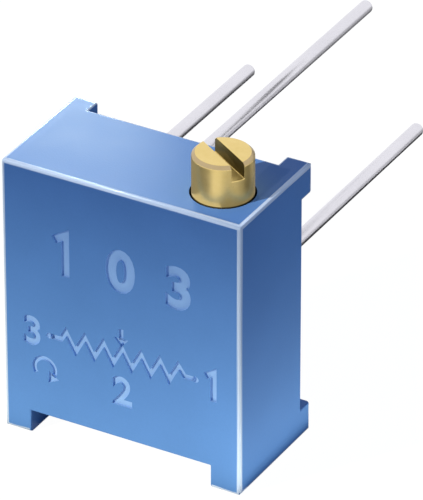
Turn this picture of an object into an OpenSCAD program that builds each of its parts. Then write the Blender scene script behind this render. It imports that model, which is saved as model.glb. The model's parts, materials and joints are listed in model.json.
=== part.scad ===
// Trimmer potentiometer, square multi-turn type, lying board pins.
// A brass screw with a worm turns a toothed wheel, which sweeps a spring wiper
// over a printed track on a ceramic plate. Three round leads leave the back.
// X is the width, Z is up and the marked front face looks along -Y.
// Depths are measured from the front face, heights from the undersides of the feet.

/* [Case] */
// Width of the case
case_w = 9.53; // [9.2:0.01:11]
// Height of the case over its feet
case_h = 10.93; // [10.6:0.01:12.5]
// Radius of the moulded outer edges
edge_r = 0.16; // [0.05:0.01:0.3]
// Thickness of the front wall
front_wall = 0.62; // [0.5:0.01:0.65]
// Thickness of the walls round the sealed back
side_wall = 0.465; // [0.3:0.005:0.6]
// Height of the feet
foot_h = 0.93; // [0.4:0.01:1.2]
// Width of the foot under the left side
foot_w_left = 1.07; // [0.6:0.01:2]
// Width of the foot under the right side
foot_w_right = 1.19; // [0.6:0.01:2]
// Thickness of the sealing resin
resin_t = 0.806; // [0.6:0.001:1.5]
// How far the four rear standoffs stand out of the back
standoff_d = 0.72; // [0.3:0.01:0.9]
// Width of a rear standoff
standoff_w = 0.95; // [0.6:0.01:1.3]
// Height of a rear standoff
standoff_h = 1.15; // [1.0:0.01:1.8]

/* [Adjustment screw] */
// Distance from the screw axis to the right side of the case
screw_inset = 1.7; // [1.65:0.01:2.1]
// Depth of the screw axis behind the front face
screw_depth = 1.8; // [1.78:0.01:1.82]
// Diameter of the screw head
head_d = 2.2; // [1.9:0.01:2.24]
// Length of the screw that stands out of the case
head_out = 1.6; // [0.8:0.01:3]
// Chamfer round the top of the screw
head_chamfer = 0.12; // [0.05:0.01:0.25]
// Width of the screwdriver slot
slot_w = 0.5; // [0.3:0.01:0.8]
// Depth of the screwdriver slot
slot_depth = 0.6; // [0.3:0.01:1]
// Direction of the slot at rest, seen from above
slot_angle = -32; // [-90:1:90]
// Running clearance between the screw and its well
screw_clearance = 0.075; // [0.02:0.005:0.1]
// Depth of the two grooves in the screw
groove_depth = 0.38; // [0.3:0.01:0.45]
// Width of the seal groove
seal_groove_w = 0.55; // [0.5:0.01:0.7]
// Depth of the seal groove below the top of the case
seal_groove_z = 0.98; // [0.6:0.01:1]
// Width of the groove for the retainer
clip_groove_w = 0.4; // [0.36:0.01:0.5]
// Thickness of the retainer
clip_t = 0.3; // [0.2:0.01:0.32]
// Diameter of the neck and the lower bearing of the screw
journal_d = 0.9; // [0.7:0.01:0.94]
// Length of the bearing at the lower end of the screw
journal_l = 1.2; // [0.8:0.01:1.3]

/* [Worm drive] */
// Number of teeth on the wheel
teeth = 33; // [24:1:40]
// Turns of the screw from one end of the travel to the other
turns = 25; // [15:1:25]
// Pitch radius of the worm
worm_r = 0.73; // [0.7:0.01:0.76]
// Length of the worm
worm_l = 3.4; // [3:0.1:3.8]
// Thread direction: -1 is left-handed, 1 is right-handed
worm_hand = -1; // [-1:2:1]
// Flank angle of the thread
flank_angle = 20; // [15:1:22]
// Free play between thread and teeth
backlash = 0.05; // [0.03:0.005:0.08]

/* [Wheel] */
// Thickness of the left side of the case beside the wheel
chamber_wall = 0.55; // [0.5:0.01:0.6]
// Height of the wheel axis as a share of the height of the case
wheel_share = 0.54; // [0.52:0.01:0.56]
// Width of the toothed rim
wheel_t = 1.0; // [0.8:0.01:1.05]
// Radius of the hub
hub_r = 1.3; // [1.1:0.01:1.5]
// Radius of the pivot post in the case
pivot_r = 0.6; // [0.4:0.01:0.7]
// Running clearance of the hub on the pivot post
pivot_clearance = 0.04; // [0.02:0.005:0.08]
// Room between the wheel and the wall of its chamber
chamber_gap = 0.13; // [0.08:0.01:0.2]
// Half the angle that the stop lug takes up
lug_half = 10; // [6:1:14]

/* [Contact element] */
// Thickness of the ceramic plate
ceramic_t = 0.635; // [0.5:0.005:0.7]
// Thickness of the printed films
film_t = 0.02; // [0.01:0.005:0.04]
// Middle radius of the printed track as a share of the pitch radius of the wheel
track_share = 0.738; // [0.7:0.001:0.76]
// Width of the printed track
track_w = 0.9; // [0.6:0.01:1]
// Thickness of the wiper sheet
wiper_t = 0.08; // [0.05:0.01:0.12]
// Number of wiper fingers on the track
fingers = 3; // [2:1:5]

/* [Leads] */
// Diameter of a lead
lead_d = 0.51; // [0.45:0.01:0.6]
// Width of the square root that keeps a lead from turning in the resin
root_w = 0.44; // [0.3:0.01:0.45]
// Depth of the ends of leads 1 and 3 behind the front face
lead_end = 16.3; // [8:0.1:24]
// Extra length of lead 2
lead_2_extra = 0.9; // [0:0.1:2]
// Distance of lead 1 from the right side of the case
lead_1_inset = 1.735; // [1.7:0.005:1.9]
// Height of lead 1 over the wheel axis
lead_1_up = 0.25; // [0:0.01:0.6]
// Lead 2 from the middle of the case
lead_2_x = 0.4; // [0:0.01:0.6]
// Distance of lead 2 below the top of the case
lead_2_drop = 0.83; // [0.8:0.01:1.1]
// Distance of lead 3 from the left side of the case
lead_3_inset = 0.8; // [0.78:0.01:1.1]
// Height of lead 3 over the wheel axis
lead_3_up = 0.76; // [0.3:0.01:1]

/* [Hidden] */
$fn = 96;

// Small distances that keep cuts clean and parts apart
over = 0.5;
slip = 0.02;
fit_gap = 0.05;
end_play = 0.1;

// The case
half_w = case_w / 2;
pocket_half = half_w - side_wall;
pocket_low = foot_h + side_wall;
pocket_top = case_h - side_wall;

// The screw, with its axis along Z
screw_x = half_w - screw_inset;
well_r = head_d / 2 + screw_clearance;
groove_r = head_d / 2 - groove_depth;
head_top = case_h + head_out;
seal_top = case_h - seal_groove_z;
seal_low = seal_top - seal_groove_w;
land_l = 0.45;
clip_groove_top = seal_low - land_l;
clip_groove_low = clip_groove_top - clip_groove_w;
collar_r = 1;
collar_l = 0.4;
collar_low = clip_groove_low - collar_l;
boss_low = collar_low - fit_gap;
boss_left = screw_x - well_r - side_wall;

// The retainer, pushed in from the back through a slot in the screw boss
clip_half = 1.2;
clip_front = 1.1;
clip_z = (clip_groove_top + clip_groove_low) / 2;

// The gearing: one turn of the screw moves the wheel on by one tooth
wheel_room = case_w - screw_inset - worm_r - chamber_wall - chamber_gap;
wheel_r = wheel_room / (2 + 2 / teeth);
wheel_x = screw_x - worm_r - wheel_r;
wheel_z = case_h * wheel_share;
module_size = 2 * wheel_r / teeth;
pitch = PI * module_size;
addendum = module_size;
dedendum = 1.25 * module_size;
wheel_tip = wheel_r + addendum;
wheel_root = wheel_r - dedendum;
worm_tip = worm_r + addendum;
worm_root = worm_r - dedendum;
lead_angle = atan(pitch / (2 * PI * worm_r));
play_share = backlash / 4;
steps = 20;
worm_low = wheel_z - worm_l / 2;
worm_high = wheel_z + worm_l / 2;
journal_low = worm_low - journal_l;
journal_r = journal_d / 2;
journal_gap = 0.035;
well_room = 0.35;
well_low = worm_low - well_room;

// The wheel, with its axis along Y
wheel_front = screw_depth - wheel_t / 2;
wheel_back = screw_depth + wheel_t / 2;
chamber_r = wheel_tip + chamber_gap;
rim_t = 0.36;
rim_r = wheel_root - rim_t;
web_sink = 0.3;
hub_web = 0.3;
travel = turns * 360 / teeth;
lug_front = front_wall + chamber_gap;
stop_gap = 0.5;
rib_half = 180 - travel / 2 - lug_half - stop_gap;
rib_reach = 0.25;
rib_back = wheel_front - end_play;

// The stack behind the worm: solder, films, ceramic plate, resin and standoffs
worm_room = 0.03;
solder_h = 0.08;
potting_sink = 0.07;
film_front = screw_depth + worm_tip + worm_room + solder_h;
ceramic_depth = film_front + film_t;
ceramic_back = ceramic_depth + ceramic_t;
resin_back = ceramic_back + resin_t;
back = resin_back + potting_sink;
case_d = back + standoff_d;

// The element
track_r = wheel_r * track_share;
gap_half = 180 - travel / 2;
collector_r = 0.62;
strip_w = 0.5;
pad_w = 0.55;
pad_gap = 0.12;
pad_angle = 9;
pad_blend = 1;
pad_r = 0.58;
arm_w = 0.7;
contact_gap = 0.01;
wiper_back = film_front - contact_gap;
finger_pitch = 0.36;
finger_w = 0.26;
plate_w = 1.9;
plate_low = -1;
plate_high = 1.8;
window_w = strip_w + 0.2;
window_low = plate_low + 0.45;
window_high = 1.15;
hook = 0.16;
heel = 0.125;
stake_r = 0.2;
stake_sink = 0.1;
stake_x = 0.68;
stake_z = 1.45;

// The leads
lead_r = lead_d / 2;
tip_r = 0.12;
lead_1_x = half_w - lead_1_inset;
lead_1_z = wheel_z + lead_1_up;
lead_2_z = case_h - lead_2_drop;
lead_3_x = -half_w + lead_3_inset;
lead_3_z = wheel_z + lead_3_up;
lead_proud = 0.05;
lead_front = ceramic_depth - lead_proud;
slot_play = 0.025;
slot_half = root_w / 2 + slot_play;
solder_r = 0.62;
solder_top_r = 0.4;
solder_room = 0.1;

// The origin is under the middle of the whole part, leads included
y_mid = (lead_end + lead_2_extra) / 2;

// Places the depth axis of the case
module placed() {
    translate([0, -y_mid, 0]) children();
}

// Extrudes an outline drawn as (x, z) backwards from one depth to another
module slab(front, rear) {
    translate([0, rear, 0]) rotate([90, 0, 0]) linear_extrude(rear - front) children();
}

// A rectangle with rounded corners
module soft_rect(low, high, r) {
    translate([low.x + r, low.y]) square([high.x - low.x - 2 * r, high.y - low.y]);
    translate([low.x, low.y + r]) square([high.x - low.x, high.y - low.y - 2 * r]);
    for (x = [low.x + r, high.x - r])
        for (y = [low.y + r, high.y - r])
            translate([x, y]) circle(r);
}

// A wedge in the (x, z) plane round the wheel axis, from one angle to another
module wedge(from, to, r) {
    middle = (from + to) / 2;
    polygon([
        [0, 0],
        [r * cos(from), r * sin(from)],
        [r * cos(middle), r * sin(middle)] / cos((to - from) / 2),
        [r * cos(to), r * sin(to)],
    ]);
}

// The outline of the case seen from the front, with its two feet
module case_outline() {
    difference() {
        soft_rect([-half_w, 0], [half_w, case_h], edge_r);
        translate([-half_w + foot_w_left, -over])
            square([case_w - foot_w_left - foot_w_right, foot_h + over]);
    }
}

// The four rear standoffs seen from the front
module standoff_outline() {
    intersection() {
        soft_rect([-half_w, 0], [half_w, case_h], edge_r);
        for (x = [-half_w, half_w - standoff_w])
            for (z = [0, case_h - standoff_h])
                translate([x, z]) square([standoff_w, standoff_h]);
    }
}

// The opening in the back, which holds the ceramic plate and the sealing resin
module pocket_outline() {
    difference() {
        translate([-pocket_half, pocket_low])
            square([2 * pocket_half, pocket_top - pocket_low]);
        standoff_outline();
    }
}

// The corner of that opening which the screw boss takes up
module boss_outline(gap = 0) {
    translate([boss_left - gap, boss_low - gap])
        square([half_w + over - boss_left, case_h + over - boss_low]);
}

// The wall blank: the outline run back, with the front and side edges rounded
module case_blank() {
    intersection() {
        union() {
            slab(0, back) case_outline();
            slab(ceramic_back, case_d) standoff_outline();
        }
        translate([0, 0, -over]) linear_extrude(case_h + 2 * over)
            soft_rect([-half_w, 0], [half_w, case_d], edge_r);
        translate([-half_w - over, 0, 0]) rotate([90, 0, 90])
            linear_extrude(case_w + 2 * over)
                soft_rect([0, 0], [case_d, case_h], edge_r);
    }
}

// The chamber that the wheel turns in, with the pivot post and the stop rib left standing
module wheel_chamber() {
    translate([wheel_x, 0, wheel_z]) {
        difference() {
            slab(front_wall, ceramic_depth + slip) circle(chamber_r);
            slab(0, wheel_back - hub_web - fit_gap) circle(pivot_r);
            slab(0, rib_back) intersection() {
                difference() {
                    circle(chamber_r + over);
                    circle(rim_r - rib_reach);
                }
                wedge(90 - rib_half, 90 + rib_half, 2 * chamber_r);
            }
        }
    }
}

// Where the solder round a lead needs room in the ledge under the ceramic plate
module solder_relief(x, z) {
    translate([x, 0, z]) slab(ceramic_depth - solder_h - solder_room, ceramic_depth + slip)
        intersection() {
            circle(solder_r + solder_room);
            translate([-x - pocket_half, pocket_low - z])
                square([2 * pocket_half, pocket_top - pocket_low]);
        }
}

// The way of the printed strip from the wheel axis up and across to lead 2
module collector_path(gap = 0) {
    left = wheel_x - strip_w / 2 - gap;
    translate([left, wheel_z]) square([strip_w + 2 * gap, lead_2_z - wheel_z]);
    translate([left, lead_2_z - strip_w - gap])
        square([lead_2_x - wheel_x + strip_w + 2 * gap, strip_w + 2 * gap]);
}

module housing() {
    color([0.25, 0.42, 0.75]) placed() difference() {
        case_blank();
        wheel_chamber();
        slab(ceramic_depth, ceramic_back) difference() {
            pocket_outline();
            boss_outline();
        }
        slab(ceramic_back, case_d) pocket_outline();
        slab(film_front - slip, ceramic_depth + slip) collector_path(slip);
        translate([screw_x, screw_depth, well_low]) cylinder(h = case_h, r = well_r);
        translate([screw_x, screw_depth, journal_low - fit_gap])
            cylinder(h = journal_l + over, r = journal_r + journal_gap);
        clip_slot();
        solder_relief(lead_1_x, lead_1_z);
        solder_relief(lead_2_x, lead_2_z);
        solder_relief(lead_3_x, lead_3_z);
    }
}

// The slot in the screw boss that the retainer is pushed into
module clip_slot() {
    translate([screw_x - clip_half - slip, clip_front - fit_gap, clip_z - clip_t / 2 - slip])
        cube([2 * (clip_half + slip), ceramic_back, clip_t + 2 * slip]);
}

module screw_retainer() {
    color([0.7, 0.72, 0.74]) placed()
        translate([screw_x, 0, clip_z - clip_t / 2]) linear_extrude(clip_t) difference() {
            translate([-clip_half, clip_front]) square([2 * clip_half, ceramic_back - clip_front]);
            translate([0, screw_depth]) circle(groove_r + slip);
            translate([-groove_r - slip, clip_front - over])
                square([2 * (groove_r + slip), screw_depth - clip_front + over]);
        }
}

// Two triangles over four corners, and a fan of them over one corner and a row of others
function quad(a, b, c, d) = [[a, b, c], [a, c, d]];
function fan(tip, row) = [for (i = [0 : len(row) - 2]) [tip, row[i], row[i + 1]]];

// The worm as one skin. Section i of the thread has the corners 4 * i to 4 * i + 3, from its
// lower root to its upper root, and one turn further on the same angle comes back. A flat ring
// of the root radius closes each end.
module worm() {
    count = floor((worm_l - pitch) / pitch * steps);
    root_half = pitch / 4 - play_share + dedendum * tan(flank_angle);
    crest_half = pitch / 4 - play_share - addendum * tan(flank_angle);
    low = 4 * (count + 1);
    high = low + steps;
    last = count - steps;
    function at(r, i, z) =
        let (turn = i / steps - count / (2 * steps), angle = 180 + worm_hand * 360 * turn)
        [r * cos(angle), r * sin(angle), z];
    function middle(i) = wheel_z + pitch * (i / steps - count / (2 * steps));
    thread = [
        for (i = [0 : count]) each [
            at(worm_root, i, middle(i) - root_half),
            at(worm_tip, i, middle(i) - crest_half),
            at(worm_tip, i, middle(i) + crest_half),
            at(worm_root, i, middle(i) + root_half),
        ]
    ];
    low_ring = [for (i = [0 : steps - 1]) at(worm_root, i, worm_low)];
    high_ring = [for (i = [0 : steps - 1]) at(worm_root, i, worm_high)];
    skin = concat(
        [for (i = [0 : count - 1]) for (k = [0 : 2])
            each quad(4 * i + k, 4 * i + k + 1, 4 * i + k + 5, 4 * i + k + 4)],
        [for (i = [0 : last - 1])
            each quad(4 * i + 3, 4 * (i + steps), 4 * (i + steps + 1), 4 * i + 7)],
        [for (i = [0 : steps - 2]) each quad(low + i, 4 * i, 4 * i + 4, low + i + 1)],
        fan(4 * (steps - 1), [4 * steps, 3, 0, low, low + steps - 1]),
        [for (i = [last + 1 : count - 1])
            each quad(4 * i + 3, high + i % steps, high + (i + 1) % steps, 4 * i + 7)],
        fan(
            high + (last + 1) % steps,
            [4 * last + 7, 4 * last + 3, 4 * count, 4 * count + 3, high + last % steps]
        ),
        [[3, 2, 1, 0], [4 * count, 4 * count + 1, 4 * count + 2, 4 * count + 3]],
        [[for (i = [0 : steps - 1]) low + i], [for (i = [steps - 1 : -1 : 0]) high + i]]
    );
    faces = worm_hand > 0 ? skin : [for (f = skin) [for (i = [len(f) - 1 : -1 : 0]) f[i]]];
    polyhedron(points = concat(thread, low_ring, high_ring), faces = faces);
}

module adjustment_screw() {
    color([0.86, 0.74, 0.42]) placed() translate([screw_x, screw_depth, 0]) {
        difference() {
            rotate_extrude() polygon([
                [0, worm_high - journal_r],
                [journal_r, worm_high - journal_r],
                [journal_r, collar_low],
                [collar_r, collar_low],
                [collar_r, clip_groove_low],
                [groove_r, clip_groove_low],
                [groove_r, clip_groove_top],
                [head_d / 2, clip_groove_top],
                [head_d / 2, seal_low],
                [groove_r, seal_low],
                [groove_r, seal_top],
                [head_d / 2, seal_top],
                [head_d / 2, head_top - head_chamfer],
                [head_d / 2 - head_chamfer, head_top],
                [0, head_top],
            ]);
            rotate([0, 0, slot_angle]) translate([-head_d, -slot_w / 2, head_top - slot_depth])
                cube([2 * head_d, slot_w, slot_depth + over]);
        }
        worm();
        translate([0, 0, journal_low]) cylinder(h = journal_l + journal_r, r = journal_r);
    }
}

// The seal ring sits in its groove and closes the well
module screw_seal_ring() {
    ring_gap = 0.0125;
    section_r = (well_r - groove_r) / 2 - ring_gap;
    color([0.15, 0.15, 0.16]) placed()
        translate([screw_x, screw_depth, (seal_top + seal_low) / 2])
            rotate_extrude() translate([(well_r + groove_r) / 2, 0]) circle(section_r, $fn = 32);
}

// One gash between two teeth, at the angle of the thread
module tooth_gash() {
    gash_angle = flank_angle + 90 / teeth;
    pitch_half = pitch / 4 + play_share;
    outer = addendum + end_play;
    rotate([worm_hand < 0 ? lead_angle : -lead_angle, 0, 0])
        slab(-wheel_t, wheel_t) polygon([
            [wheel_root, pitch_half - dedendum * tan(gash_angle)],
            [wheel_r + outer, pitch_half + outer * tan(gash_angle)],
            [wheel_r + outer, -pitch_half - outer * tan(gash_angle)],
            [wheel_root, -pitch_half + dedendum * tan(gash_angle)],
        ]);
}

module worm_wheel() {
    color([0.93, 0.92, 0.88]) placed() translate([wheel_x, 0, wheel_z]) {
        difference() {
            union() {
                slab(wheel_front, wheel_back) circle(wheel_tip);
                slab(front_wall + slip, wheel_back) circle(hub_r);
                // The lug that meets the stop rib at both ends of the travel
                slab(lug_front, wheel_back) intersection() {
                    difference() {
                        circle(wheel_root - slip);
                        circle(rim_r);
                    }
                    wedge(270 - lug_half, 270 + lug_half, 2 * wheel_r);
                }
            }
            slab(0, wheel_front + web_sink) difference() {
                circle(rim_r);
                circle(hub_r);
            }
            slab(0, wheel_back - hub_web) circle(pivot_r + pivot_clearance);
            for (i = [0 : teeth - 1])
                rotate([0, -i * 360 / teeth, 0]) translate([0, screw_depth, 0]) tooth_gash();
        }
        // Two stakes hold the wiper
        for (x = [-stake_x, stake_x])
            translate([x, 0, stake_z]) slab(wheel_back - stake_sink, wheel_back + 2 * wiper_t)
                circle(stake_r, $fn = 48);
    }
}

// A strip of sheet seen from its edge: it follows a path and has an even thickness
function ribbon(path, thick) =
    let (
        last = len(path) - 1,
        way = [for (i = [0 : last - 1]) (path[i + 1] - path[i]) / norm(path[i + 1] - path[i])],
        normal = [for (w = way) [-w.y, w.x]],
        miter = [
            for (i = [0 : last])
            i == 0 ? normal[0]
            : i == last ? normal[last - 1]
            : (normal[i - 1] + normal[i]) / (1 + normal[i - 1] * normal[i])
        ]
    )
    concat(
        path,
        [for (i = [last : -1 : 0]) path[i] + thick * miter[i]]
    );

// One spring finger, bent out of the plate towards the films. It runs along -Z
module finger(from, to, width) {
    rise = wiper_back - wheel_back;
    path = [
        [from + heel, wheel_back],
        [from, wheel_back],
        [to, wheel_back + rise - wiper_t],
        [to - hook, wheel_back + rise - wiper_t - hook],
    ];
    translate([-width / 2, 0, 0]) rotate([90, 0, 90]) linear_extrude(width)
        polygon([for (p = ribbon(path, -wiper_t)) [p.y, p.x]]);
}

module wiper_contact() {
    color([0.82, 0.7, 0.4]) placed() translate([wheel_x, 0, wheel_z]) {
        difference() {
            slab(wheel_back, wheel_back + wiper_t)
                translate([-plate_w / 2, plate_low]) square([plate_w, plate_high - plate_low]);
            slab(0, case_d) {
                translate([-window_w / 2, window_low])
                    square([window_w, window_high - window_low]);
                for (x = [-stake_x, stake_x])
                    translate([x, stake_z]) circle(stake_r + contact_gap, $fn = 48);
            }
        }
        finger(window_high, 0, strip_w);
        for (i = [0 : fingers - 1])
            translate([finger_pitch * (i - (fingers - 1) / 2), 0, 0])
                finger(plate_low, -track_r, finger_w);
    }
}

// An open slot in the edge of the ceramic plate, for a lead
module lead_slot(x, z, toward) {
    translate([x, z]) rotate(toward) translate([-slot_half, -slot_half])
        square([case_w, 2 * slot_half]);
}

module ceramic_outline() {
    gap = fit_gap;
    difference() {
        translate([-pocket_half + gap, pocket_low + gap])
            square([2 * (pocket_half - gap), pocket_top - pocket_low - 2 * gap]);
        boss_outline(gap);
        lead_slot(lead_1_x, lead_1_z, 0);
        lead_slot(lead_2_x, lead_2_z, 90);
        lead_slot(lead_3_x, lead_3_z, 180);
    }
}

// The standoffs reach in over two corners of the plate, so those are cut back
module ceramic_base() {
    color([0.93, 0.93, 0.9]) placed() slab(ceramic_depth, ceramic_back) difference() {
        ceramic_outline();
        translate([-half_w, case_h - standoff_h - fit_gap])
            square([standoff_w + fit_gap, standoff_h + fit_gap]);
    }
}

// The films are drawn on the part of the plate that they may cover
module film() {
    placed() slab(film_front, ceramic_depth) intersection() {
        ceramic_outline();
        children();
    }
}

module resistive_track() {
    color([0.16, 0.17, 0.18]) film() translate([wheel_x, wheel_z]) intersection() {
        difference() {
            circle(track_r + track_w / 2);
            circle(track_r - track_w / 2);
        }
        difference() {
            circle(case_w);
            wedge(90 - gap_half, 90 + gap_half, 2 * case_w);
        }
    }
}

// A printed pad from the end of the track to its lead
module end_pad(side, x, z) {
    end_angle = 90 + side * gap_half;
    film() {
        translate([wheel_x, wheel_z]) intersection() {
            difference() {
                circle(track_r + track_w / 2 + pad_w);
                circle(track_r - track_w / 2);
            }
            wedge(
                min(end_angle, end_angle - side * pad_angle),
                max(end_angle, end_angle - side * pad_angle),
                2 * case_w
            );
        }
        difference() {
            union() {
                translate([wheel_x, wheel_z]) intersection() {
                    circle(track_r + track_w / 2 + pad_w);
                    wedge(
                        side > 0 ? end_angle - pad_blend : pad_stop(x, z),
                        side > 0 ? pad_stop(x, z) : end_angle + pad_blend,
                        2 * case_w
                    );
                }
                translate([wheel_x, wheel_z]) rotate(pad_stop(x, z)) translate([track_r, -arm_w / 2])
                    square([norm([x - wheel_x, z - wheel_z]) - track_r, arm_w]);
                translate([x, z]) circle(pad_r);
            }
            translate([wheel_x, wheel_z]) circle(track_r + track_w / 2 + pad_gap);
        }
    }
}

// The angle round the wheel axis at which a lead stands
function pad_stop(x, z) = atan2(z - wheel_z, x - wheel_x);

module collector_pad() {
    color([0.8, 0.8, 0.78]) film() {
        translate([wheel_x, wheel_z]) circle(collector_r);
        collector_path();
    }
}

module end_pad_1() {
    color([0.78, 0.78, 0.76]) end_pad(-1, lead_1_x, lead_1_z);
}

module end_pad_3() {
    color([0.78, 0.78, 0.76]) end_pad(1, lead_3_x, lead_3_z);
}

// The square root of a lead, seen from the front
module root_outline(x, z) {
    translate([x - root_w / 2, z - root_w / 2]) square(root_w);
}

// A round lead with a rounded tip. Its root is soldered in its slot and sealed in the resin
module terminal_pin(x, z, tip) {
    color([0.78, 0.79, 0.81]) placed() {
        slab(lead_front, resin_back) root_outline(x, z);
        translate([x, resin_back, z]) rotate([-90, 0, 0]) rotate_extrude() {
            square([lead_r, tip - resin_back - tip_r]);
            square([lead_r - tip_r, tip - resin_back]);
            translate([lead_r - tip_r, tip - resin_back - tip_r]) circle(tip_r, $fn = 48);
        }
    }
}

module terminal_pin_1() {
    terminal_pin(lead_1_x, lead_1_z, lead_end);
}

module terminal_pin_2() {
    terminal_pin(lead_2_x, lead_2_z, lead_end + lead_2_extra);
}

module terminal_pin_3() {
    terminal_pin(lead_3_x, lead_3_z, lead_end);
}

// The solder is a low sloping button over the inner end of a lead
module solder_joint(x, z) {
    keep = pocket_half - 2 * slip;
    color([0.72, 0.73, 0.75]) placed() difference() {
        intersection() {
            translate([x, film_front, z]) rotate([90, 0, 0])
                cylinder(h = solder_h, r1 = solder_r, r2 = solder_top_r);
            translate([-keep, film_front - 2 * solder_h, pocket_low])
                cube([2 * keep, 2 * solder_h, pocket_top - 2 * slip - pocket_low]);
        }
        slab(lead_front, case_d) root_outline(x, z);
    }
}

module solder_joint_1() {
    solder_joint(lead_1_x, lead_1_z);
}

module solder_joint_2() {
    solder_joint(lead_2_x, lead_2_z);
}

module solder_joint_3() {
    solder_joint(lead_3_x, lead_3_z);
}

// The resin fills the back round the leads, a little below the rim
module potting_seal() {
    color([0.3, 0.45, 0.7]) placed() slab(ceramic_back, resin_back) difference() {
        pocket_outline();
        root_outline(lead_1_x, lead_1_z);
        root_outline(lead_2_x, lead_2_z);
        root_outline(lead_3_x, lead_3_z);
    }
}

housing();
adjustment_screw();
screw_seal_ring();
screw_retainer();
worm_wheel();
wiper_contact();
ceramic_base();
resistive_track();
collector_pad();
end_pad_1();
end_pad_3();
terminal_pin_1();
terminal_pin_2();
terminal_pin_3();
solder_joint_1();
solder_joint_2();
solder_joint_3();
potting_seal();
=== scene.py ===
# %% [markdown]
# A trimmer potentiometer, dressed for its portrait
#
# The part is a sealed multi-turn trimmer: a blue moulded case of 9.5 mm, a brass
# screw that stands out of its top, and three long leads. Its exact solids come packed
# as a fixed frame. This lesson gives them their surfaces, models the pieces whose
# finish needs more than a material, and sets up light and camera.

import json
from math import cos, pi, radians, sin

import bmesh
import bpy
from mathutils import Matrix, Vector


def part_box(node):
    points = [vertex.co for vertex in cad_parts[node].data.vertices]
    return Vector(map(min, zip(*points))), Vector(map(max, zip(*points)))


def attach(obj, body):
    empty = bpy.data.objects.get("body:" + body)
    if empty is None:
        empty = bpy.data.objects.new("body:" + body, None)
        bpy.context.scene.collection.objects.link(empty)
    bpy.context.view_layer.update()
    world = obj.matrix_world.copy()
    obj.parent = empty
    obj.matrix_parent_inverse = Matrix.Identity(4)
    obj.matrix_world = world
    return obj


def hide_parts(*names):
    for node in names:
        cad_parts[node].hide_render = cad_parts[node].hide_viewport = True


MM = 0.001
WHITE = (1, 1, 1, 1)

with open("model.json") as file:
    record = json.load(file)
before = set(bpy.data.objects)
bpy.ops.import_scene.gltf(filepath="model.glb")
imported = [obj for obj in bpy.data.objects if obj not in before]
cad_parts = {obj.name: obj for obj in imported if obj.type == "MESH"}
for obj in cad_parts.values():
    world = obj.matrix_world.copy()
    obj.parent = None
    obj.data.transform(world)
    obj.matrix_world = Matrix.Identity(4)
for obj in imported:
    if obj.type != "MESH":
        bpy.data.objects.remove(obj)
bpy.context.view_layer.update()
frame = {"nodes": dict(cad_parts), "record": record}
case_low, case_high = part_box("housing")
screw_low, screw_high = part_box("adjustment_screw")
resin_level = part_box("potting_seal")[1][1]

front = case_low[1]
case_rear = case_high[1]
case_top = case_high[2]
half_width = case_high[0]
screw_top = screw_high[2]
screw_axis = Vector(((screw_low[0] + screw_high[0]) / 2, (screw_low[1] + screw_high[1]) / 2, 0))
print("case", [round(1000 * (h - l), 2) for l, h in zip(case_low, case_high)], "mm")
print("screw stands out by", round(1000 * (screw_top - case_top), 2), "mm")

# %% [markdown]
# The camera
#
# The portrait is taken from the right and from above, from far away with a long lens,
# so that parallel edges stay nearly parallel. A camera is easiest to place by the
# direction it looks from: a yaw round the object, a pitch over the floor and a
# distance. The aim is moved sideways and up until the object fills the frame, which
# keeps the lens shift at zero.

# %% Camera
IMAGE_HEIGHT = 500
FOCAL_PIXELS = 6569
SENSOR = 36

yaw = radians(29.48)
pitch = radians(31.01)
distance = 230 * MM
towards_camera = Vector((sin(yaw) * cos(pitch), -cos(yaw) * cos(pitch), sin(pitch)))
right = Vector((cos(yaw), sin(yaw), 0))
up = towards_camera.cross(right)
aim = Vector((0, front + 2.4 * MM, 5 * MM)) + right * 1.974 * MM + up * 2.036 * MM

camera = bpy.data.objects.new("camera", bpy.data.cameras.new("camera"))
bpy.context.collection.objects.link(camera)
camera.matrix_world = Matrix.Translation(aim + towards_camera * distance) @ Matrix(
    (right, up, towards_camera)
).transposed().to_4x4()
camera.data.sensor_width = SENSOR
camera.data.lens = FOCAL_PIXELS / IMAGE_HEIGHT * SENSOR
camera.data.clip_start = 0.01
bpy.context.scene.camera = camera
print("lens", round(camera.data.lens), "mm at", round(1000 * distance), "mm")

# %% [markdown]
# Small helpers
#
# Every new piece is made with the edit-mode operators, as by hand. They act on all
# that is selected, so each step starts with nothing selected, and picks its edges or
# faces in code, by their place. Faces that look squarely along an axis are kept flat
# when the rest is smoothed, so the broad sides of the case stay even.


# %% Helpers for modelling
def deselect_all():
    if bpy.context.object and bpy.context.object.mode != "OBJECT":
        bpy.ops.object.mode_set(mode="OBJECT")
    bpy.ops.object.select_all(action="DESELECT")


def activate(obj):
    deselect_all()
    obj.select_set(True)
    bpy.context.view_layer.objects.active = obj


def edit(obj, kind="EDGE"):
    activate(obj)
    bpy.ops.object.mode_set(mode="EDIT")
    bpy.ops.mesh.select_mode(type=kind)
    bpy.ops.mesh.select_all(action="DESELECT")


def done():
    bpy.ops.object.mode_set(mode="OBJECT")


def pick_edges(obj, wanted):
    mesh = bmesh.from_edit_mesh(obj.data)
    count = 0
    for edge in mesh.edges:
        if len(edge.link_faces) == 2 and wanted(edge):
            edge.select = True
            count += 1
    mesh.select_flush_mode()
    bmesh.update_edit_mesh(obj.data)
    return count


def pick_faces(obj, wanted):
    mesh = bmesh.from_edit_mesh(obj.data)
    count = 0
    for face in mesh.faces:
        if wanted(face):
            face.select = True
            count += 1
    mesh.select_flush_mode()
    bmesh.update_edit_mesh(obj.data)
    return count


# %% Copies, modifiers and smoothing
WELD = 1e-7
FLAT = radians(0.2)


def copy_of(node, name, merge_flat=True):
    source = frame["nodes"][node]
    piece = bpy.data.objects.new(name, source.data.copy())
    bpy.context.collection.objects.link(piece)
    edit(piece, "VERT")
    bpy.ops.mesh.select_all(action="SELECT")
    bpy.ops.mesh.remove_doubles(threshold=WELD)
    if merge_flat:
        bpy.ops.mesh.dissolve_limited(angle_limit=FLAT)
    done()
    return piece


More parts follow.
